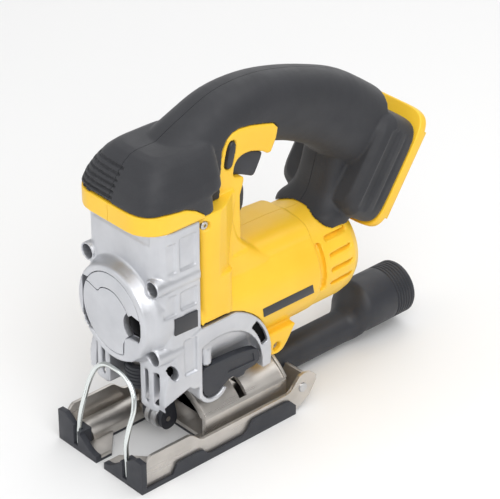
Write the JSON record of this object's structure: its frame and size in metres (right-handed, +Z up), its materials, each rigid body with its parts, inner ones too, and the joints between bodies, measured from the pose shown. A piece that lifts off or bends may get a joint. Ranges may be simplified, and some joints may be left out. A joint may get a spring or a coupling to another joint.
{
  "type": "cordless jigsaw",
  "caption": "Cordless jigsaw with a D-handle, cast front with a blade release lever, tilting shoe with a wire finger guard and a dust outlet tube.",
  "frame": {"origin": "on the underside of the shoe, on its centre-line, at the middle of its length", "axes": "+X forward towards the blade end, +Y to the tool's left, +Z up; the sole rests on the XY plane"},
  "size_m": [0.239, 0.0752, 0.2117],
  "materials": {
    "yellow_plastic": "satin moulded plastic",
    "black_rubber": "matte soft grip",
    "black_nylon": "fine-grained nylon",
    "cast_aluminium": "bead-blasted casting",
    "steel": "satin",
    "zinc_wire": "bright zinc plating",
    "copper_winding": "varnished winding",
    "bronze": "sintered bronze",
    "dark_plate": "satin, blank"
  },
  "bodies": {
    "tool": {"housing_left": "yellow_plastic", "housing_right": "yellow_plastic", "handle_left": "black_rubber", "handle_right": "black_rubber", "switch_module": "black_nylon", "electronics_module": "dark_plate", "battery_plate": "yellow_plastic", "terminal_block": "black_nylon", "gear_case": "cast_aluminium", "case_screw_1": "steel", "case_screw_2": "steel", "case_screw_3": "steel", "case_screw_4": "steel", "lever_cover": "cast_aluminium", "lever_pin": "steel", "stator": "steel", "front_bearing": "steel", "rear_bearing": "steel", "brush_left": "bronze", "brush_right": "bronze", "gear_plate": "cast_aluminium", "gear_axle": "steel", "upper_bush": "bronze", "lower_bush": "bronze", "fork_pin": "steel", "bevel_bolt": "steel", "bevel_lever_pin": "steel", "housing_screw_1": "steel", "housing_screw_2": "steel", "housing_screw_3": "steel", "case_badge": "dark_plate"},
    "shoe": {"shoe_plate": "steel", "shoe_cover": "black_nylon", "shoe_cradle": "steel", "finger_guard": "zinc_wire", "dust_tube": "black_nylon"},
    "armature": {"rotor": "copper_winding", "fan": "black_nylon", "pinion": "steel"},
    "crank": {"crank_gear": "steel", "crank_pin": "steel"},
    "plunger": {"plunger": "steel", "blade_clamp": "black_nylon"},
    "fork": {"guide_fork": "black_nylon", "roller_pin": "steel"},
    "roller": {"guide_roller": "steel"},
    "trigger": {"trigger": "black_nylon"},
    "lock_button": {"lock_off_button": "black_nylon"},
    "release_lever": {"clamp_lever": "cast_aluminium"},
    "bevel_lever": {"bevel_lever": "black_nylon"},
    "selector": {"orbit_selector": "black_nylon"}
  },
  "joints": [
    {"name": "shoe_bevel", "type": "hinge", "parent": "tool", "child": "shoe", "pos_m": [0, 0, 0], "axis": [1, 0, 0], "range_deg": [-45, 45]},
    {"name": "motor_spin", "type": "hinge", "parent": "tool", "child": "armature", "pos_m": [0, 0, 0.0815], "axis": [1, 0, 0], "continuous": true},
    {"name": "crank_spin", "type": "hinge", "parent": "tool", "child": "crank", "pos_m": [0, 0, 0.1135], "axis": [1, 0, 0], "continuous": true},
    {"name": "plunger_slide", "type": "slide", "parent": "tool", "child": "plunger", "axis": [0, 0, 1], "range_m": [-0.013, 0.013]},
    {"name": "fork_swing", "type": "hinge", "parent": "tool", "child": "fork", "pos_m": [0.0226, 0, 0.054], "axis": [0, -1, 0], "range_deg": [0, 3]},
    {"name": "roller_spin", "type": "hinge", "parent": "fork", "child": "roller", "pos_m": [0.023, 0, 0.016], "axis": [0, 1, 0], "continuous": true},
    {"name": "trigger_pull", "type": "hinge", "parent": "tool", "child": "trigger", "pos_m": [-0.0205, 0, 0.1695], "axis": [0, 1, 0], "range_deg": [0, 6], "stiffness_Nm_per_rad": 0.6, "springref_deg": -2.86},
    {"name": "lock_slide", "type": "slide", "parent": "tool", "child": "lock_button", "axis": [0, 1, 0], "range_m": [-0.003, 0.003]},
    {"name": "release_swing", "type": "hinge", "parent": "tool", "child": "release_lever", "pos_m": [0.0531, -0.02, 0.098], "axis": [0, 0, -1], "range_deg": [0, 55], "stiffness_Nm_per_rad": 0.05, "springref_deg": -5.73},
    {"name": "bevel_lever_swing", "type": "hinge", "parent": "tool", "child": "bevel_lever", "pos_m": [0.012, 0.0296, 0.05], "axis": [0, 0, -1], "range_deg": [0, 65]},
    {"name": "orbit_set", "type": "hinge", "parent": "tool", "child": "selector", "pos_m": [0.033, 0, 0.058], "axis": [0, 1, 0], "range_deg": [0, 90]}
  ],
  "couplings": [
    {"joint": "crank_spin", "follows": "motor_spin", "ratio": -0.23077}
  ]
}
